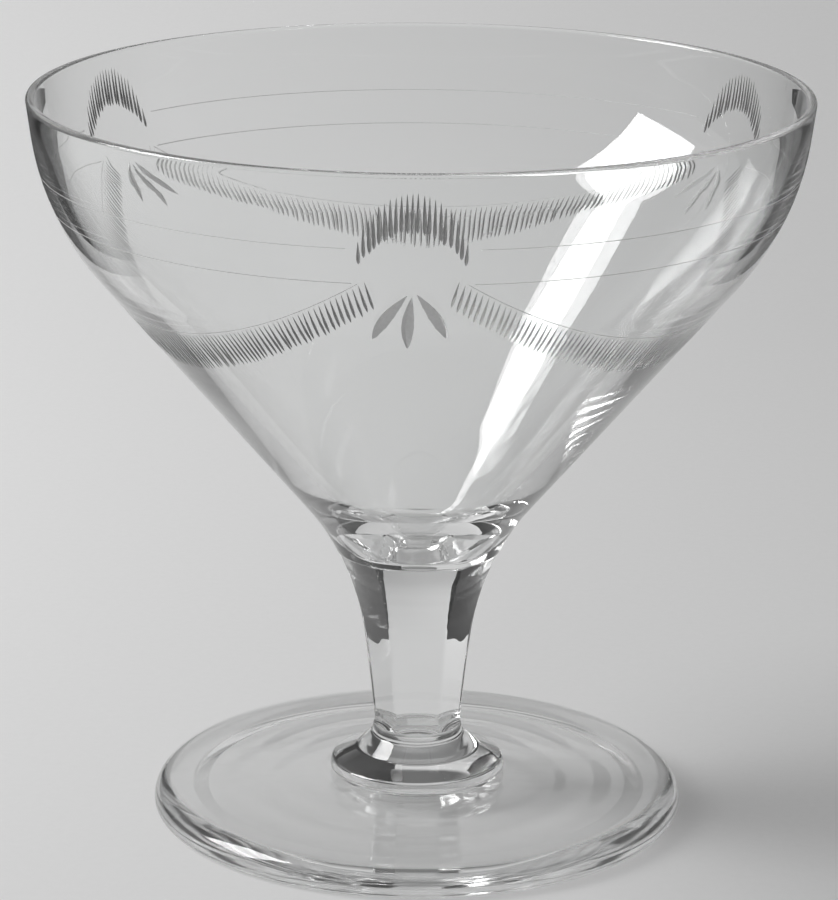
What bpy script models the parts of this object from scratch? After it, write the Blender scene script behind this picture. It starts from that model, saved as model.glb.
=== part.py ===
# Sherbet glass: blown bowl, six-panelled stem, collar and round foot, all of clear glass.
import math

import bpy
from mathutils import Matrix, Vector

# Whole glass, in metres, resting on the floor with its axis on Z
HEIGHT = 0.092
RIM_RADIUS = 0.048

# Seat where the bowl stands on the stem
SEAT_RADIUS = 0.0104
SEAT_HEIGHT = 0.034

# Bowl outside: leaning wall, rounded shoulder, straight cone and a flared ankle
WALL_LEAN = 0.13
RIM_ROUND = 0.0005
SHOULDER_HEIGHT = 0.0777
SHOULDER_ROUND = 0.033
ANKLE_RUN = 0.00147
ANKLE_RISE = 0.00306
ANKLE_ROUND = 0.028

# Bowl inside: thin at the rim, thicker down the cone, with a small round bottom
RIM_WALL = 0.0011
SHOULDER_INSET = 0.0011
SHOULDER_LIFT = 0.0008
BEND_RUN = 0.0101
BEND_RISE = 0.0095
BEND_ROUND = 0.030
BOTTOM_RADIUS = 0.0042
BOTTOM_THICKNESS = 0.0007
BOTTOM_ROUND = 0.003

# Stem: six flat panels, flared to the seat
PANELS = 6
STEM_END_RADIUS = 0.0054
FLARE_RADIUS = 0.00723
FLARE_HEIGHT = 0.0269
FLARE_ROUND = 0.034

# Collar: a short neck under the stem, a cove, and a thick lip on the foot
COLLAR_TOP_HEIGHT = 0.0107
COLLAR_TOP_RADIUS = 0.0055
NECK_RADIUS = 0.0058
NECK_HEIGHT = 0.0052
NECK_ROUND = 0.0015
COVE_RADIUS = 0.0077
COVE_HEIGHT = 0.00315
COVE_ROUND = 0.0012
BROW_RADIUS = 0.0108
BROW_HEIGHT = 0.0018
BROW_ROUND = 0.0007
LIP_RADIUS = 0.0111
LIP_HEIGHT = 0.0007
LIP_ROUND = 0.0005
LIP_UNDERCUT = 0.0006

# Foot: disc with a thick rounded edge, flat resting ring and a shallow hollow beneath
FOOT_RADIUS = 0.0335
FOOT_TOP_HEIGHT = 0.0043
FOOT_TOP_RADIUS = 0.0120
FOOT_TOP_ROUND = 0.020
FOOT_EDGE_HEIGHT = 0.0036
FOOT_EDGE_ROUND = 0.0026
FOOT_UNDER_ROUND = 0.0010
FOOT_RING_RADIUS = 0.0285
FOOT_STEP_RADIUS = 0.0265
FOOT_STEP_HEIGHT = 0.00035
FOOT_STEP_ROUND = 0.002
FOOT_HOLLOW_RADIUS = 0.012
FOOT_HOLLOW_HEIGHT = 0.0009
FOOT_HOLLOW_ROUND = 0.030

# Fineness of the turned shapes
TURN_STEPS = 72
ARC_STEP = math.radians(9)
ARC_PIECES = 4
MERGE_DISTANCE = 0.00001
SHARP_ANGLE = math.radians(28)


def rounded_path(corners):
    # Each corner is radius, height and rounding; a rounded corner becomes an arc tangent to both sides
    points = []
    for i, (radius, height, rounding) in enumerate(corners):
        corner = Vector((radius, height))
        if rounding == 0:
            points.append(corner)
            continue
        before = (Vector(corners[i - 1][:2]) - corner).normalized()
        after = (Vector(corners[i + 1][:2]) - corner).normalized()
        half = before.angle(after) / 2
        run = rounding / math.tan(half)
        centre = corner + (before + after).normalized() * (rounding / math.sin(half))
        start = corner + before * run - centre
        end = corner + after * run - centre
        turn = -start.angle_signed(end)
        count = max(ARC_PIECES, math.ceil(abs(turn) / ARC_STEP))
        for k in range(count + 1):
            points.append(centre + Matrix.Rotation(turn * k / count, 2) @ start)
    return points


def turned(name, corners, steps, collection, material):
    # A profile at +X, spun about Z and made solid
    points = rounded_path(corners)
    profile = bpy.data.meshes.new(name)
    edges = [(i, i + 1) for i in range(len(points) - 1)]
    profile.from_pydata([(p.x, 0, p.y) for p in points], edges, [])
    shape = bpy.data.objects.new(name, profile)
    collection.objects.link(shape)
    spin = shape.modifiers.new("spin", "SCREW")
    spin.axis = "Z"
    spin.angle = math.tau
    spin.steps = steps
    spin.render_steps = steps
    spin.use_merge_vertices = True
    spin.merge_threshold = MERGE_DISTANCE
    bpy.context.view_layer.update()
    solid = shape.evaluated_get(bpy.context.evaluated_depsgraph_get())
    mesh = bpy.data.meshes.new_from_object(solid)
    shape.modifiers.clear()
    shape.data = mesh
    bpy.data.meshes.remove(profile)
    mesh.name = name
    mesh.materials.append(material)
    mesh.shade_smooth()
    mesh.set_sharp_from_angle(angle=SHARP_ANGLE)


def glass(name, tint, roughness):
    material = bpy.data.materials.new(name)
    material.use_nodes = True
    shader = material.node_tree.nodes["Principled BSDF"]
    shader.inputs["Base Color"].default_value = (*tint, 1)
    shader.inputs["Roughness"].default_value = roughness
    shader.inputs["Transmission Weight"].default_value = 1
    shader.inputs["IOR"].default_value = 1.52
    return material


for old in list(bpy.data.objects):
    bpy.data.objects.remove(old)

parts = bpy.data.collections.new("sherbet_glass")
bpy.context.scene.collection.children.link(parts)

# Foot, resting on its ring
turned(
    "foot",
    [
        (0, FOOT_TOP_HEIGHT, 0),
        (FOOT_TOP_RADIUS, FOOT_TOP_HEIGHT, FOOT_TOP_ROUND),
        (FOOT_RADIUS, FOOT_EDGE_HEIGHT, FOOT_EDGE_ROUND),
        (FOOT_RADIUS, 0, FOOT_UNDER_ROUND),
        (FOOT_RING_RADIUS, 0, 0),
        (FOOT_STEP_RADIUS, FOOT_STEP_HEIGHT, FOOT_STEP_ROUND),
        (FOOT_HOLLOW_RADIUS, FOOT_HOLLOW_HEIGHT, FOOT_HOLLOW_ROUND),
        (0, FOOT_HOLLOW_HEIGHT, 0),
    ],
    TURN_STEPS,
    parts,
    glass("foot_glass", (0.96, 0.97, 0.97), 0.03),
)

# Collar, flat on the foot
turned(
    "merese",
    [
        (0, COLLAR_TOP_HEIGHT, 0),
        (COLLAR_TOP_RADIUS, COLLAR_TOP_HEIGHT, 0),
        (NECK_RADIUS, FOOT_TOP_HEIGHT + NECK_HEIGHT, NECK_ROUND),
        (COVE_RADIUS, FOOT_TOP_HEIGHT + COVE_HEIGHT, COVE_ROUND),
        (BROW_RADIUS, FOOT_TOP_HEIGHT + BROW_HEIGHT, BROW_ROUND),
        (LIP_RADIUS, FOOT_TOP_HEIGHT + LIP_HEIGHT, LIP_ROUND),
        (LIP_RADIUS - LIP_UNDERCUT, FOOT_TOP_HEIGHT, 0),
        (0, FOOT_TOP_HEIGHT, 0),
    ],
    TURN_STEPS,
    parts,
    glass("merese_glass", (0.97, 0.97, 0.97), 0.02),
)

# Stem, six-sided from the collar to the seat, one panel facing the front
turned(
    "stem",
    [
        (0, SEAT_HEIGHT, 0),
        (SEAT_RADIUS, SEAT_HEIGHT, 0),
        (FLARE_RADIUS, FLARE_HEIGHT, FLARE_ROUND),
        (STEM_END_RADIUS, COLLAR_TOP_HEIGHT, 0),
        (0, COLLAR_TOP_HEIGHT, 0),
    ],
    PANELS,
    parts,
    glass("stem_glass", (0.97, 0.97, 0.97), 0.02),
)

# Bowl, seated on the stem's flared top
bottom_height = SEAT_HEIGHT + BOTTOM_THICKNESS
shoulder_radius = RIM_RADIUS - WALL_LEAN * (HEIGHT - SHOULDER_HEIGHT)
turned(
    "bowl",
    [
        (0, bottom_height, 0),
        (BOTTOM_RADIUS, bottom_height, BOTTOM_ROUND),
        (BOTTOM_RADIUS + BEND_RUN, bottom_height + BEND_RISE, BEND_ROUND),
        (shoulder_radius - SHOULDER_INSET, SHOULDER_HEIGHT + SHOULDER_LIFT, SHOULDER_ROUND),
        (RIM_RADIUS - RIM_WALL, HEIGHT, RIM_ROUND),
        (RIM_RADIUS, HEIGHT, RIM_ROUND),
        (shoulder_radius, SHOULDER_HEIGHT, SHOULDER_ROUND),
        (SEAT_RADIUS + ANKLE_RUN, SEAT_HEIGHT + ANKLE_RISE, ANKLE_ROUND),
        (SEAT_RADIUS, SEAT_HEIGHT, 0),
        (0, SEAT_HEIGHT, 0),
    ],
    TURN_STEPS,
    parts,
    glass("bowl_glass", (0.97, 0.97, 0.97), 0.02),
)
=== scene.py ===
import math

import bmesh
import bpy
import numpy as np
from mathutils import Matrix, Vector


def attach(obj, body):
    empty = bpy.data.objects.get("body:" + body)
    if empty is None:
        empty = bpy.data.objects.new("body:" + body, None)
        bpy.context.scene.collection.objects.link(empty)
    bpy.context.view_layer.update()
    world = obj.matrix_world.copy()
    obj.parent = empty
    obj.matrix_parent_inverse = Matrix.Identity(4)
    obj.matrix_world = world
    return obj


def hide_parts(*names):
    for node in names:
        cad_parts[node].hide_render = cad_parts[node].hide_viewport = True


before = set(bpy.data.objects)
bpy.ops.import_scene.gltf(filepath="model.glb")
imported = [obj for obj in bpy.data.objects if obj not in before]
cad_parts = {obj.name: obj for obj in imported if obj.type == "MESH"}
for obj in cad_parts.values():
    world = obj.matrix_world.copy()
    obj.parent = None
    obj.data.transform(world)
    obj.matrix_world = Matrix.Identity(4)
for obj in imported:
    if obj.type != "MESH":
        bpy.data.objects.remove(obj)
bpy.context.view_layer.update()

# Foot. A disc of clear glass dropped hot on the collar and pressed flat, thick and round at its edge.
# It rests on a flat ring around a shallow hollow. Its top keeps faint rings from the shaping, and years of
# use have dulled it with fine scratches.
FOOT_TOP = 0.0043
FOOT_SEAT_RADIUS = 0.0105
# Corners of a profile, here and below, are radius, height and rounding
FOOT_CROWN = (0.0120, FOOT_TOP, 0.020)
FOOT_EDGE = (0.0335, 0.0036, 0.0026)
FOOT_UNDER_EDGE = (0.0335, 0, 0.0010)
RESTING_RING = (0.0285, 0, 0)
HOLLOW_EDGE = (0.0265, 0.00035, 0.002)
HOLLOW = (0.012, 0.0009, 0.030)
FOOT_SPACING = 0.0006
FOOT_UPPER_SIDE = 0.003
FOOT_WAVE_HEIGHT = 0.000035
FOOT_WAVE_LENGTH = 0.0055
FOOT_WAVE_START = 0.013
FOOT_WAVE_END = 0.0305
WORN_FROM = 0.0035
WORN_ABOVE = 0.0037
WORN_ROUGHNESS = 0.06
# Fineness of all turned pieces
TURN = 240
ANGLES = np.arange(TURN) * (math.tau / TURN)
ARC_STEP = math.radians(3)
ARC_PIECES = 3
SHARP_ANGLE = math.radians(24)
TOUCH = 0.000001
# Glass, and the marks on it
GLASS_IOR = 1.52
CLEAR_TINT = (0.985, 0.99, 0.988, 1)
FILM_TINT = (0.90, 0.905, 0.90, 1)
FILM_FROM = 0.52
FILM_FULL = 0.75
HAIR_LEVEL = 0.62
HAIR_WIDTH = 0.004
HAIR_DEPTH = 0.000002
HAIR_ROUGHNESS = 0.3


def rounded_path(corners, arc_step=ARC_STEP):
    # Each rounded corner of a profile becomes an arc tangent to both sides
    points = []
    for i, (radius, height, rounding) in enumerate(corners):
        corner = Vector((radius, height))
        if rounding == 0:
            points.append(corner)
            continue
        before = (Vector(corners[i - 1][:2]) - corner).normalized()
        after = (Vector(corners[i + 1][:2]) - corner).normalized()
        half = before.angle(after) / 2
        run = rounding / math.tan(half)
        centre = corner + (before + after).normalized() * (rounding / math.sin(half))
        start = corner + before * run - centre
        end = corner + after * run - centre
        turn = -start.angle_signed(end)
        count = max(ARC_PIECES, math.ceil(abs(turn) / arc_step))
        for k in range(count + 1):
            points.append(centre + Matrix.Rotation(turn * k / count, 2) @ start)
    return points


def evened(points, longest):
    # The same path with its long straights divided
    path = [points[0]]
    for a, b in zip(points, points[1:]):
        count = max(1, math.ceil((b - a).length / longest))
        path += [a.lerp(b, k / count) for k in range(1, count + 1)]
    return path


def flat_bands(path, height, radius):
    # How many bands of a path lie on a seat of this height and radius
    return sum(abs(p.y - height) < TOUCH and p.x < radius + TOUCH for p in path) - 1


# The inner faces where two gathers are melted into one, with nothing to see
fused_seat = bpy.data.materials.new("fused_seat")
fused_seat.use_nodes = True
fused_seat.node_tree.nodes["Principled BSDF"].inputs["Alpha"].default_value = 0


def loft(name, rings, fused, glass):
    # Rings of radius and height, joined in turn; a radius of 0 is a pole,
    # and the bands in fused are inner seats
    points = []
    first = []
    for radius, height in rings:
        first.append(len(points))
        if np.ndim(radius) == 0 and radius < TOUCH:
            points.append((0.0, 0.0, float(height)))
            continue
        radii = np.broadcast_to(radius, TURN)
        points += [
            (float(r * math.cos(a)), float(r * math.sin(a)), float(height)) for r, a in zip(radii, ANGLES)
        ]
    first.append(len(points))
    faces = []
    seats = []
    for band in range(len(rings) - 1):
        a, b, end = first[band:band + 3]
        for k in range(TURN):
            n = (k + 1) % TURN
            if b - a == 1:
                face = (a, b + k, b + n)
            elif end - b == 1:
                face = (a + k, b, a + n)
            else:
                face = (a + k, b + k, b + n, a + n)
            faces.append(face)
            seats.append(1 if band in fused else 0)
    mesh = bpy.data.meshes.new(name)
    mesh.from_pydata(points, [], faces)
    mesh.materials.append(glass)
    mesh.materials.append(fused_seat)
    mesh.polygons.foreach_set("material_index", seats)
    mesh.shade_smooth()
    mesh.set_sharp_from_angle(angle=SHARP_ANGLE)
    piece = bpy.data.objects.new(name, mesh)
    piece.visible_diffuse = False
    bpy.context.scene.collection.objects.link(piece)
    return piece


def feed(tree, socket, value):
    # A plain value goes on the socket itself, and a node's output is linked to it
    if isinstance(value, bpy.types.NodeSocket):
        tree.links.new(value, socket)
    else:
        socket.default_value = value


def maths(tree, operation, *values):
    node = tree.nodes.new("ShaderNodeMath")
    node.operation = operation
    for socket, value in zip(node.inputs, values):
        feed(tree, socket, value)
    return node.outputs["Value"]


def stretched(tree, value, low, high, start, end):
    # A value moved from one range to another, and held at its ends
    node = tree.nodes.new("ShaderNodeMapRange")
    names = ("Value", "From Min", "From Max", "To Min", "To Max")
    for name, amount in zip(names, (value, low, high, start, end)):
        feed(tree, node.inputs[name], amount)
    return node.outputs["Result"]


def noise(tree, place, scale, detail):
    node = tree.nodes.new("ShaderNodeTexNoise")
    node.inputs["Detail"].default_value = detail
    feed(tree, node.inputs["Scale"], scale)
    tree.links.new(place, node.inputs["Vector"])
    return node.outputs["Fac"]


def mixed(tree, factor, first, second):
    # A colour between two others
    node = tree.nodes.new("ShaderNodeMix")
    node.data_type = "RGBA"
    for name, value in zip(("Factor", "A", "B"), (factor, first, second)):
        feed(tree, node.inputs[name], value)
    return node.outputs["Result"]


def whereabouts(tree, kind="Object"):
    return tree.nodes.new("ShaderNodeTexCoord").outputs[kind]


def axes(tree, place):
    # The X, Y and Z of a place
    split = tree.nodes.new("ShaderNodeSeparateXYZ")
    tree.links.new(place, split.inputs["Vector"])
    return split.outputs


def glass_marks():
    # What hands and fire leave on glass: slow waves, hair scratches and a cloudy film
    group = bpy.data.node_groups.new("glass_marks", "ShaderNodeTree")
    for name in ("Wave Scale", "Wave Height", "Scratch", "Haze"):
        group.interface.new_socket(name, in_out="INPUT", socket_type="NodeSocketFloat")
    for name in ("Height", "Roughness"):
        group.interface.new_socket(name, in_out="OUTPUT", socket_type="NodeSocketFloat")
    group.interface.new_socket("Tint", in_out="OUTPUT", socket_type="NodeSocketColor")
    given = group.nodes.new("NodeGroupInput").outputs
    result = group.nodes.new("NodeGroupOutput").inputs
    place = whereabouts(group)
    waves = noise(group, place, given["Wave Scale"], 1)
    swell = maths(group, "MULTIPLY", waves, given["Wave Height"])
    # A hair scratch runs where a drawn-out noise passes one level
    drawn_out = group.nodes.new("ShaderNodeMapping")
    drawn_out.inputs["Rotation"].default_value = (0.3, 0.2, 0.6)
    drawn_out.inputs["Scale"].default_value = (1, 9, 5)
    group.links.new(place, drawn_out.inputs["Vector"])
    streaks = noise(group, drawn_out.outputs["Vector"], 70, 4)
    off_line = maths(group, "ABSOLUTE", maths(group, "SUBTRACT", streaks, HAIR_LEVEL))
    hair = maths(group, "MULTIPLY", stretched(group, off_line, 0, HAIR_WIDTH, 1, 0), given["Scratch"])
    film = stretched(group, noise(group, place, 110, 5), FILM_FROM, FILM_FULL, 0, 1)
    cloud = maths(group, "MULTIPLY", film, given["Haze"])
    dent = maths(group, "MULTIPLY", hair, HAIR_DEPTH)
    dull = maths(group, "MULTIPLY", hair, HAIR_ROUGHNESS)
    group.links.new(maths(group, "SUBTRACT", swell, dent), result["Height"])
    group.links.new(maths(group, "ADD", cloud, dull), result["Roughness"])
    group.links.new(mixed(group, cloud, CLEAR_TINT, FILM_TINT), result["Tint"])
    return group


marks = glass_marks()


def clear_glass(name, wave_scale, wave_height, scratch, haze, shade):
    # Colourless glass with its own share of the marks; shade is the lamp light each face lets through
    material = bpy.data.materials.new(name)
    material.use_nodes = True
    nodes = material.node_tree.nodes
    links = material.node_tree.links
    shader = nodes["Principled BSDF"]
    shader.inputs["IOR"].default_value = GLASS_IOR
    shader.inputs["Transmission Weight"].default_value = 1
    wear = nodes.new("ShaderNodeGroup")
    wear.name = "wear"
    wear.node_tree = marks
    for socket, amount in zip(wear.inputs, (wave_scale, wave_height, scratch, haze)):
        socket.default_value = amount
    bump = nodes.new("ShaderNodeBump")
    bump.inputs["Distance"].default_value = 1
    links.new(wear.outputs["Height"], bump.inputs["Height"])
    links.new(bump.outputs["Normal"], shader.inputs["Normal"])
    links.new(wear.outputs["Roughness"], shader.inputs["Roughness"])
    links.new(wear.outputs["Tint"], shader.inputs["Base Color"])
    light_path = nodes.new("ShaderNodeLightPath")
    through = nodes.new("ShaderNodeBsdfTransparent")
    through.inputs["Color"].default_value = (shade, shade, shade, 1)
    mix = nodes.new("ShaderNodeMixShader")
    links.new(light_path.outputs["Is Shadow Ray"], mix.inputs["Fac"])
    links.new(shader.outputs["BSDF"], mix.inputs[1])
    links.new(through.outputs["BSDF"], mix.inputs[2])
    links.new(mix.outputs["Shader"], nodes["Material Output"].inputs["Surface"])
    return material


foot_glass = clear_glass(
    "foot_glass", wave_scale=160, wave_height=0.00002, scratch=0.5, haze=0.05, shade=0.84
)
tree = foot_glass.node_tree
worn = stretched(tree, axes(tree, whereabouts(tree))["Z"], WORN_FROM, WORN_ABOVE, 0, WORN_ROUGHNESS)
dulled = maths(tree, "ADD", worn, tree.nodes["wear"].outputs["Roughness"])
tree.links.new(dulled, tree.nodes["Principled BSDF"].inputs["Roughness"])
foot_profile = evened(
    rounded_path(
        [
            (0, FOOT_TOP, 0),
            (FOOT_SEAT_RADIUS, FOOT_TOP, 0),
            FOOT_CROWN,
            FOOT_EDGE,
            FOOT_UNDER_EDGE,
            RESTING_RING,
            HOLLOW_EDGE,
            HOLLOW,
            (0, HOLLOW[1], 0),
        ]
    ),
    FOOT_SPACING,
)
for p in foot_profile:
    if p.y > FOOT_UPPER_SIDE and FOOT_WAVE_START < p.x < FOOT_WAVE_END:
        out = p.x - FOOT_WAVE_START
        swell = math.sin(out / (FOOT_WAVE_END - FOOT_WAVE_START) * math.pi)
        p.y += FOOT_WAVE_HEIGHT * swell * math.sin(out / FOOT_WAVE_LENGTH * math.tau)
seat_bands = flat_bands(foot_profile, FOOT_TOP, FOOT_SEAT_RADIUS)
foot = loft("foot_disc", [(p.x, p.y) for p in foot_profile], range(seat_bands), foot_glass)
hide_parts("foot")
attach(foot, "root")

# Collar. A small gather of clear glass between stem and foot, left round by the fire,
# drawn up in a short neck under the stem and pressed to a thick lip on the foot.
COLLAR_TOP = 0.0107
COLLAR_TOP_RADIUS = 0.0055
NECK = (0.0058, 0.0095, 0.0015)
COVE = (0.0077, 0.00745, 0.0012)
BROW = (0.0108, 0.0061, 0.0007)
LIP = (0.0111, 0.0050, 0.0005)
WALL_SPACING = 0.001
collar_profile = evened(
    rounded_path(
        [
            (0, COLLAR_TOP, 0),
            (COLLAR_TOP_RADIUS, COLLAR_TOP, 0),
            NECK,
            COVE,
            BROW,
            LIP,
            (FOOT_SEAT_RADIUS, FOOT_TOP, 0),
            (0, FOOT_TOP, 0),
        ]
    ),
    WALL_SPACING,
)
bands = len(collar_profile) - 1
top_bands = flat_bands(collar_profile, COLLAR_TOP, COLLAR_TOP_RADIUS)
end_bands = flat_bands(collar_profile, FOOT_TOP, FOOT_SEAT_RADIUS)
collar = loft(
    "collar",
    [(p.x, p.y) for p in collar_profile],
    {*range(top_bands), *range(bands - end_bands, bands)},
    clear_glass("collar_glass", wave_scale=420, wave_height=0.000012, scratch=0, haze=0.03, shade=0.5),
)
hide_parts("merese")
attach(collar, "root")

# Stem. A solid gather drawn down from the bowl's bottom, cut cold with six flat panels and polished.
# The panels round off toward a narrow bevel under the bowl and melt into the round of the collar.
SEAT = 0.034
SEAT_RADIUS = 0.0104
FLARE = (0.00723, 0.0269, 0.034)
STEM_END_RADIUS = 0.0054
HALF_PANEL = math.radians(30)
BLUNT_RIDGE = 0.988
BEVEL = 0.0007
BEVEL_RINGS = 9
PANEL_RINGS = 76
MELT = 0.0008
MELT_RINGS = 13
ROUNDING_START = 0.016
ROUNDING = 0.35
ridge = rounded_path([(SEAT_RADIUS, SEAT, 0), FLARE, (STEM_END_RADIUS, COLLAR_TOP, 0)])[::-1]
ridge_radius = [p.x for p in ridge]
ridge_height = [p.y for p in ridge]


def six_sided(corner_radius, softness):
    # Radii of a hexagon with blunt corners, softened toward a circle
    off_face = ANGLES % (2 * HALF_PANEL) - HALF_PANEL
    flat = corner_radius * math.cos(HALF_PANEL) / np.cos(off_face)
    flat = np.minimum(flat, corner_radius * BLUNT_RIDGE)
    return flat + (corner_radius - flat) * softness


heights = np.concatenate(
    [
        np.linspace(SEAT, SEAT - BEVEL, BEVEL_RINGS),
        np.linspace(SEAT - BEVEL, COLLAR_TOP + MELT, PANEL_RINGS)[1:],
        COLLAR_TOP + MELT * np.linspace(1, 0, MELT_RINGS)[1:] ** 2,
    ]
)
stem_rings = [(0.0, SEAT), (SEAT_RADIUS / 2, SEAT)]
for height in heights:
    up = min(1.0, max(0.0, (height - ROUNDING_START) / (SEAT - ROUNDING_START)))
    rounded = ROUNDING * up * up * (3 - 2 * up)
    bevelled = max(0.0, 1 - (SEAT - height) / BEVEL) ** 1.5
    radii = six_sided(np.interp(height, ridge_height, ridge_radius), max(rounded, bevelled))
    spread = max(0.0, 1 - (height - COLLAR_TOP) / MELT) ** 2
    stem_rings.append((radii + (COLLAR_TOP_RADIUS - radii) * spread, height))
stem_rings += [(COLLAR_TOP_RADIUS / 2, COLLAR_TOP), (0.0, COLLAR_TOP)]
bands = len(stem_rings) - 1
stem = loft(
    "panelled_stem",
    stem_rings,
    {0, 1, bands - 2, bands - 1},
    clear_glass("stem_glass", wave_scale=240, wave_height=0.000008, scratch=0.25, haze=0.02, shade=0.5),
)
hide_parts("stem")
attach(stem, "root")

# Bowl. Blown clear glass, thin and straight at the rim, rounded at the shoulder and conical below.
# Its wall thickens down the cone to a small round bottom.
RIM = 0.092
RIM_RADIUS = 0.048
RIM_ROUND = 0.0005
SHOULDER = (0.046141, 0.0777, 0.033)
ANKLE = (0.01187, 0.03706, 0.028)
INNER_RIM_RADIUS = 0.0469
INNER_SHOULDER = (0.04504, 0.0785, 0.033)
INNER_BEND = (0.0143, 0.0442, 0.030)
INNER_BOTTOM = (0.0042, 0.0347, 0.003)
bowl_profile = evened(
    rounded_path(
        [
            (0, INNER_BOTTOM[1], 0),
            INNER_BOTTOM,
            INNER_BEND,
            INNER_SHOULDER,
            (INNER_RIM_RADIUS, RIM, RIM_ROUND),
            (RIM_RADIUS, RIM, RIM_ROUND),
            SHOULDER,
            ANKLE,
            (SEAT_RADIUS, SEAT, 0),
            (0, SEAT, 0),
        ]
    ),
    WALL_SPACING,
)
bands = len(bowl_profile) - 1
end_bands = flat_bands(bowl_profile, SEAT, SEAT_RADIUS)
bowl = loft(
    "bowl_shell",
    [(p.x, p.y) for p in bowl_profile],
    range(bands - end_bands, bands),
    clear_glass("bowl_glass", wave_scale=55, wave_height=0.00002, scratch=0.15, haze=0.015, shade=0.77),
)
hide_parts("bowl")
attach(bowl, "root")

# Engraving. A garland cut into the cold bowl on small stone wheels and left matt: three swags of strokes
# hung between three half-round fans of upright strokes, a sprig of three leaves under each fan,
# and two fine rings that stop at the fans.
MOTIFS = 3
MOTIF_TURN = math.radians(-1)
STROKE_DEPTH = 0.00022
CLEARANCE = 0.00004
# Turns are degrees from the middle of a fan, on the way to the next one
SPACING = 360 / MOTIFS
MIDWAY = SPACING / 2
FAN_STROKES = 21
FAN_REACH = 7.5
FAN_HALF_TURN = 7.9
FAN_LOW = 0.0814
FAN_RISE = 0.0086
FAN_HALF_WIDTH = 0.00025
FAN_BLUNT = 8
ARCH_TOP = 0.0849
ARCH_DROP = 0.0000671
# Each leaf has its start and end as turn and height, its bow, and the side that its keel leans to
LEAVES = (
    ((-0.6, 0.0776), (-6.6, 0.0712), -0.0003, -0.55),
    ((-0.1, 0.0774), (-1.0, 0.0699), -0.0002, -0.35),
    ((0.4, 0.0777), (5.3, 0.0714), 0.0003, 0.55),
)
LEAF_HALF_WIDTH = 0.00075
LEAF_DEPTH = 0.00020
LEAF_TIP_DEPTH = 0.00006
LEAF_WALL_RADIUS = 0.045
SWAG_START = 6.6
SWAG_LOW = 0.0272
SWAG_LIFT = 0.0140
SWAG_SPAN = 53
SWAG_BEND = 2.1
SWAG_GAP = 0.0007
SWAG_LENGTH = 0.0042
SWAG_GROWTH = 0.0033
SWAG_LEAN = 0.2
SWAG_HALF_WIDTH = 0.0002
SWAG_BLUNT = 5
EDGE_LINE_START = 7.4
EDGE_LINE_GAP = 0.0001
# Each ring has its height and the turn where it stops
RINGS = ((0.0831, 8.7), (0.0788, 8.2))
LINE_HALF_WIDTH = 0.00007
LINE_DEPTH = 0.000035
WALL_ARC_STEP = math.radians(0.5)
WALL_STEP = 0.0002
outer_wall = rounded_path([(RIM_RADIUS, RIM, 0), SHOULDER, (*ANKLE[:2], 0)], WALL_ARC_STEP)
wall_radius = np.array([p.x for p in outer_wall])
wall_height = np.array([p.y for p in outer_wall])
wall_along = np.concatenate([[0], np.cumsum(np.hypot(np.diff(wall_radius), np.diff(wall_height)))])
hand = np.random.default_rng(7)


def radius_at(along):
    # Radius of the wall at distances from the rim
    return np.interp(along, wall_along, wall_radius)


def height_at(along):
    return np.interp(along, wall_along, wall_height)


def along_at(height):
    # Distance from the rim of a height on the wall
    return np.interp(-np.asarray(height), -wall_height, wall_along)


def on_wall(bearing, along):
    # Points and outward normals of the wall at bearings from the front and distances from the rim
    radius = radius_at(along)
    out = radius_at(along + WALL_STEP) - radius_at(along - WALL_STEP)
    down = height_at(along + WALL_STEP) - height_at(along - WALL_STEP)
    points = np.stack([radius * np.sin(bearing), -radius * np.cos(bearing), height_at(along)], axis=-1)
    normals = np.stack([-down * np.sin(bearing), down * np.cos(bearing), out], axis=-1)
    return points, normals / np.hypot(out, down)[..., None]


def groove(cutter, bearing, along, half_width, depth, lean):
    # A boat-shaped cutter that follows the wall; its first and last stations are its points,
    # and lean moves the keel sideways
    cutter_points, cutter_faces = cutter
    points, normals = on_wall(np.asarray(bearing), np.asarray(along))
    aside = np.cross(normals, np.gradient(points, axis=0))
    aside /= np.linalg.norm(aside, axis=1)[:, None]
    first = len(cutter_points)
    cutter_points.append(points[0] + normals[0] * CLEARANCE)
    for p, n, b, w, d in zip(points[1:-1], normals[1:-1], aside[1:-1], half_width[1:-1], depth[1:-1]):
        above = p + n * CLEARANCE
        rise = CLEARANCE / d
        cutter_points.append(above + b * w * (1 + rise - lean * rise))
        cutter_points.append(p - n * d + b * w * lean)
        cutter_points.append(above - b * w * (1 + rise + lean * rise))
    cutter_points.append(points[-1] + normals[-1] * CLEARANCE)
    stations = len(points) - 2
    last = len(cutter_points) - 1
    for k in range(3):
        n = (k + 1) % 3
        cutter_faces.append((first, first + 1 + n, first + 1 + k))
        for i in range(stations - 1):
            a = first + 1 + 3 * i
            cutter_faces.append((a + k, a + n, a + 3 + n, a + 3 + k))
        a = first + 1 + 3 * (stations - 1)
        cutter_faces.append((last, a + k, a + n))


def stroke(cutter, bearing, along, half_width, blunt):
    # One touch of the wheel, from a fine start to a blunter end
    t = np.linspace(0, 1, len(bearing))
    swell = t**0.8 * (1 - t**blunt)
    swell = swell / swell.max()
    width = half_width * hand.uniform(0.9, 1.05)
    depth = STROKE_DEPTH * hand.uniform(0.8, 1.1)
    groove(cutter, bearing, along, width * swell, depth * (0.25 + 0.75 * swell), 0)


def fine_line(cutter, bearing, along):
    even = np.ones(len(bearing))
    groove(cutter, bearing, along, LINE_HALF_WIDTH * even, LINE_DEPTH * even, 0)


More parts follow.
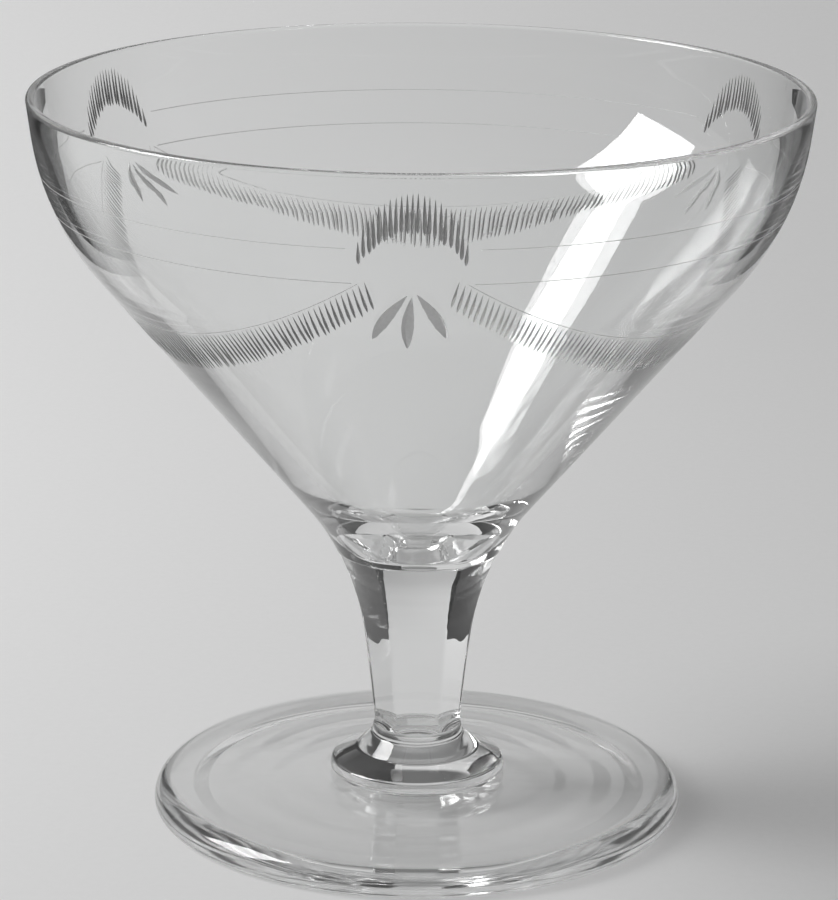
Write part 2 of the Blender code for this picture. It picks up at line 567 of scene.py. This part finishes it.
def carve(piece, cutter, slot):
    # Takes the cutters out of a piece; the cut faces get the material in this slot
    mesh = bpy.data.meshes.new("cutters")
    mesh.from_pydata([tuple(float(c) for c in p) for p in cutter[0]], [], cutter[1])
    for material in piece.data.materials:
        mesh.materials.append(material)
    mesh.polygons.foreach_set("material_index", [slot] * len(mesh.polygons))
    shape = bmesh.new()
    shape.from_mesh(mesh)
    bmesh.ops.recalc_face_normals(shape, faces=shape.faces)
    shape.to_mesh(mesh)
    shape.free()
    tool = bpy.data.objects.new("cutters", mesh)
    bpy.context.scene.collection.objects.link(tool)
    cut = piece.modifiers.new("carve", "BOOLEAN")
    cut.operation = "DIFFERENCE"
    cut.solver = "MANIFOLD"
    cut.object = tool
    carved = bpy.data.meshes.new_from_object(piece.evaluated_get(bpy.context.evaluated_depsgraph_get()))
    piece.modifiers.clear()
    piece.data = carved
    bpy.data.objects.remove(tool)


def swag_top(near):
    # The swag's upper edge: distance from the rim at a turn from the nearer fan
    return SWAG_LOW - SWAG_LIFT * ((MIDWAY - near) / SWAG_SPAN) ** SWAG_BEND


strokes = ([], [])
leaves = ([], [])
lines = ([], [])
for motif in range(MOTIFS):
    centre = MOTIF_TURN + motif * math.tau / MOTIFS
    # Fan: upright strokes between a half-round top and a flatter arch, as steady as a hand is
    for turn in np.linspace(-FAN_REACH, FAN_REACH, FAN_STROKES):
        top = FAN_LOW + FAN_RISE * math.sqrt(1 - (turn / FAN_HALF_TURN) ** 2) + hand.normal(0, 0.0001)
        arch = ARCH_TOP - ARCH_DROP * turn**2 + hand.normal(0, 0.00008)
        t = np.linspace(0, 1, 11)
        bearing = centre + np.radians(turn + hand.normal(0, 0.03) + hand.normal(0, 0.08) * t)
        stroke(strokes, bearing, along_at(top + (arch - top) * t), FAN_HALF_WIDTH, FAN_BLUNT)
    # Leaves: broad cuts with the keel along one edge
    for start, end, bow, lean in LEAVES:
        t = np.linspace(0, 1, 15)
        turn = start[0] + (end[0] - start[0]) * t + np.degrees(bow / LEAF_WALL_RADIUS) * np.sin(math.pi * t)
        along = along_at(start[1] + (end[1] - start[1]) * t)
        swell = np.maximum(np.sin(math.pi * t**1.15) ** 0.85, 0.2 * (1 - t))
        depth = LEAF_TIP_DEPTH + LEAF_DEPTH * swell
        groove(leaves, centre + np.radians(turn), along, LEAF_HALF_WIDTH * swell, depth, lean)
    # Swag: nearly upright strokes hung from its upper edge, longest at the middle
    turn = SWAG_START
    while turn < SPACING - SWAG_START:
        near = min(turn, SPACING - turn)
        side = 1 if turn < MIDWAY else -1
        top = swag_top(near)
        inward = (near - SWAG_START) / (MIDWAY - SWAG_START)
        length = SWAG_LENGTH + SWAG_GROWTH * inward**0.9 + hand.normal(0, 0.0001)
        lean = side * SWAG_LEAN * (MIDWAY - near) / MIDWAY + hand.normal(0, 0.02)
        t = np.linspace(0, 1, 12)
        along = top + length * t
        bearing = centre + math.radians(turn) - lean * length * t / radius_at(along)
        stroke(strokes, bearing, along, SWAG_HALF_WIDTH, SWAG_BLUNT)
        turn += math.degrees(SWAG_GAP / radius_at(top)) * hand.uniform(0.97, 1.03)
    # Fine lines: the swag's upper edge and the rings
    turn = np.linspace(EDGE_LINE_START, SPACING - EDGE_LINE_START, 160)
    edge = swag_top(np.minimum(turn, SPACING - turn)) - EDGE_LINE_GAP
    fine_line(lines, centre + np.radians(turn), edge)
    for height, stop in RINGS:
        turn = np.linspace(stop, SPACING - stop, 140)
        fine_line(lines, centre + np.radians(turn), along_at(np.full(len(turn), height)))


def ground_glass(name, dark, pale, clear):
    # Glass left matt by the wheel: grainy, only partly clear, and toned between dark and pale; any tone
    # below the near white of matt glass is painted shade
    material = clear_glass(name, wave_scale=5000, wave_height=0.000006, scratch=0, haze=0, shade=0.8)
    tree = material.node_tree
    shader = tree.nodes["Principled BSDF"]
    shader.inputs["Transmission Weight"].default_value = clear
    grain = noise(tree, whereabouts(tree), 2500, 3)
    tone = mixed(tree, grain, (dark, dark, dark, 1), (pale, pale, pale, 1))
    tree.links.new(tone, shader.inputs["Base Color"])
    tree.links.new(stretched(tree, grain, 0, 1, 0.5, 0.75), shader.inputs["Roughness"])
    return material


# The dark grey of the strokes and the mid grey of the leaves are painted shade for the dark room scattered
# through the matt cuts; the lines keep a near white
bowl.data.materials.append(ground_glass("ground_strokes_painted_shade", 0.22, 0.36, 0.5))
bowl.data.materials.append(ground_glass("ground_leaves_painted_shade", 0.45, 0.66, 0.55))
bowl.data.materials.append(ground_glass("ground_lines", 0.75, 0.95, 0.5))
carve(bowl, strokes, 2)
carve(bowl, leaves, 3)
carve(bowl, lines, 4)

# The wall between the cuts keeps the smooth normals of the blown shape
BLOWN_FROM = 0.045
BLOWN_TO = 0.0905
CUT_EDGE_ANGLE = math.radians(20)
LEVEL_COSINE = 0.9


def read_all(items, name, width, kind=float):
    # One property of all vertices, corners or faces of a mesh, a row for each
    values = np.empty(len(items) * width, kind)
    items.foreach_get(name, values)
    return values.reshape(-1, width)


def wall_normals(points):
    return on_wall(np.arctan2(points[:, 0], -points[:, 1]), along_at(points[:, 2]))[1]


mesh = bowl.data
mesh.shade_smooth()
mesh.set_sharp_from_angle(angle=CUT_EDGE_ANGLE)
middle = read_all(mesh.polygons, "center", 3)
height = middle[:, 2]
level = (read_all(mesh.polygons, "normal", 3) * wall_normals(middle)).sum(1) > LEVEL_COSINE
uncut = read_all(mesh.polygons, "material_index", 1, int)[:, 0] == 0
blown = uncut & level & (height > BLOWN_FROM) & (height < BLOWN_TO)
blown = np.repeat(blown, read_all(mesh.polygons, "loop_total", 1, int)[:, 0])
corner = read_all(mesh.vertices, "co", 3)[read_all(mesh.loops, "vertex_index", 1, int)[:, 0]]
mesh.normals_split_custom_set([tuple(n) for n in np.where(blown[:, None], wall_normals(corner), 0.0)])

# Studio. A wide sheet of pale paper under the glass, rising behind it, with painted light that brightens it
# toward the back and painted shade that darkens it toward its sides.
# A large soft light from the left like a window, and dark cards out of sight that draw the glass's edges.
PAPER_HALF = 2.5
PAPER_BEND = (0.42, 0, 0.8)
PAPER_TOP = (1.3, 0.41, 0)
PAPER_DROP = 0.0001
PAPER_ROUGHNESS = 0.8
rise = rounded_path([(-PAPER_HALF, 0, 0), PAPER_BEND, PAPER_TOP])
paper_mesh = bpy.data.meshes.new("paper")
paper_mesh.from_pydata(
    [(x, p.x, p.y - PAPER_DROP) for p in rise for x in (-PAPER_HALF, PAPER_HALF)],
    [],
    [(2 * i, 2 * i + 1, 2 * i + 3, 2 * i + 2) for i in range(len(rise) - 1)],
)
paper_mesh.shade_smooth()
paper = bpy.data.objects.new("paper", paper_mesh)
bpy.context.scene.collection.objects.link(paper)
paper_with_painted_light = bpy.data.materials.new("paper_with_painted_light")
paper_with_painted_light.use_nodes = True
tree = paper_with_painted_light.node_tree
place = whereabouts(tree)
# Painted light brightens the paper toward the back and painted shade darkens it toward its sides; the
# fibres are the paper's own grain
painted_light_backward = stretched(tree, axes(tree, place)["Y"], -0.2, 0.45, 0.72, 0.95)
painted_shade_sideways = stretched(tree, maths(tree, "ABSOLUTE", axes(tree, place)["X"]), 0.15, 0.7, 1, 0.4)
fibres = stretched(tree, noise(tree, place, 900, 4), 0, 1, 0.98, 1.02)
tone = maths(tree, "MULTIPLY", painted_light_backward, maths(tree, "MULTIPLY", painted_shade_sideways, fibres))
tree.links.new(tone, tree.nodes["Principled BSDF"].inputs["Base Color"])
tree.nodes["Principled BSDF"].inputs["Roughness"].default_value = PAPER_ROUGHNESS
paper_mesh.materials.append(paper_with_painted_light)

# The window's place is its bearing from the viewer's side, its height angle and its distance
WINDOW_BEARING = math.radians(-93)
WINDOW_RISE = math.radians(36)
WINDOW_DISTANCE = 0.8
WINDOW_WIDTH = 0.40
WINDOW_TALL = 0.41
WINDOW_RADIANCE = 13
WINDOW_AIM = Vector((0, 0, 0.06))
window_light = bpy.data.lights.new("window", "AREA")
window_light.shape = "RECTANGLE"
window_light.size = WINDOW_WIDTH
window_light.size_y = WINDOW_TALL
window_light.energy = WINDOW_RADIANCE * math.pi * WINDOW_WIDTH * WINDOW_TALL
window = bpy.data.objects.new("window", window_light)
bpy.context.scene.collection.objects.link(window)
reach = Vector(
    (
        math.sin(WINDOW_BEARING) * math.cos(WINDOW_RISE),
        -math.cos(WINDOW_BEARING) * math.cos(WINDOW_RISE),
        math.sin(WINDOW_RISE),
    )
)
window.location = WINDOW_AIM + reach * WINDOW_DISTANCE
window.rotation_euler = reach.to_track_quat("Z", "Y").to_euler()
window.visible_camera = False

# The near edge of a card fades out, so that it draws no hard line in the glass
CARD_NEAR = 0.015
CARD_FADE = 0.04
CARD_FAR = 0.7
CARD_TONE = (0.02, 0.02, 0.02, 1)
CARD_ROUGHNESS = 0.9
# Each card has its name, its distance from the glass's axis and its height
CARDS = (("card_left", -0.105, 0.115), ("card_right", 0.1, 0.30))
card_black = bpy.data.materials.new("card_black")
card_black.use_nodes = True
tree = card_black.node_tree
shader = tree.nodes["Principled BSDF"]
shader.inputs["Base Color"].default_value = CARD_TONE
shader.inputs["Roughness"].default_value = CARD_ROUGHNESS
fade = stretched(tree, axes(tree, whereabouts(tree))["Y"], CARD_NEAR, CARD_NEAR + CARD_FADE, 0, 1)
tree.links.new(fade, shader.inputs["Alpha"])
for name, x, tall in CARDS:
    mesh = bpy.data.meshes.new(name)
    corners = [(x, CARD_NEAR, 0), (x, CARD_FAR, 0), (x, CARD_FAR, tall), (x, CARD_NEAR, tall)]
    mesh.from_pydata(corners, [], [(0, 1, 2, 3)])
    mesh.materials.append(card_black)
    card = bpy.data.objects.new(name, mesh)
    bpy.context.scene.collection.objects.link(card)
    card.visible_camera = False
    card.visible_diffuse = False
    card.visible_shadow = False

# Room. A pale wall low behind the glass, seen only in and through it, with dark above it,
# and a dim ceiling that lights the paper.
ROOM_TONE = (0.62, 0.62, 0.62, 1)
world = bpy.context.scene.world or bpy.data.worlds.new("room")
bpy.context.scene.world = world
world.use_nodes = True
tree = world.node_tree
facing = axes(tree, whereabouts(tree, "Generated"))
ceiling = stretched(tree, facing["Z"], 0.25, 0.85, 0.02, 0.25)
low = stretched(tree, facing["Z"], 0.35, 0.55, 0.6, 0)
behind = stretched(tree, facing["Y"], -0.2, 0.6, 0.15, 1)
wall = maths(tree, "MULTIPLY", low, behind)
seen = tree.nodes.new("ShaderNodeLightPath").outputs
in_glass = maths(tree, "ADD", seen["Is Glossy Ray"], seen["Is Transmission Ray"])
in_glass.node.use_clamp = True
room = maths(tree, "MULTIPLY_ADD", wall, in_glass, ceiling)
pale = mixed(tree, seen["Is Camera Ray"], room, ROOM_TONE)
tree.links.new(pale, tree.nodes["Background"].inputs["Color"])

# Camera. A long lens a little above the rim, looking down on the glass,
# with many bounces for the light that is caught in it.
CAMERA_PLACE = (0, -0.4625, 0.18175)
CAMERA_TILT = 0.28446
CAMERA_ROLL = 0.0065
CAMERA_LENS = 154.4
CAMERA_SENSOR = 36
BOUNCES = 48
camera = bpy.data.cameras.new("camera")
camera.lens = CAMERA_LENS
camera.sensor_width = CAMERA_SENSOR
camera.clip_start = 0.01
viewer = bpy.data.objects.new("camera", camera)
bpy.context.scene.collection.objects.link(viewer)
viewer.matrix_world = (
    Matrix.Translation(CAMERA_PLACE)
    @ Matrix.Rotation(math.pi / 2 - CAMERA_TILT, 4, "X")
    @ Matrix.Rotation(CAMERA_ROLL, 4, "Z")
)
scene = bpy.context.scene
scene.camera = viewer
scene.view_settings.view_transform = "Standard"
scene.cycles.max_bounces = BOUNCES
scene.cycles.glossy_bounces = BOUNCES
scene.cycles.transmission_bounces = BOUNCES
scene.cycles.transparent_max_bounces = BOUNCES
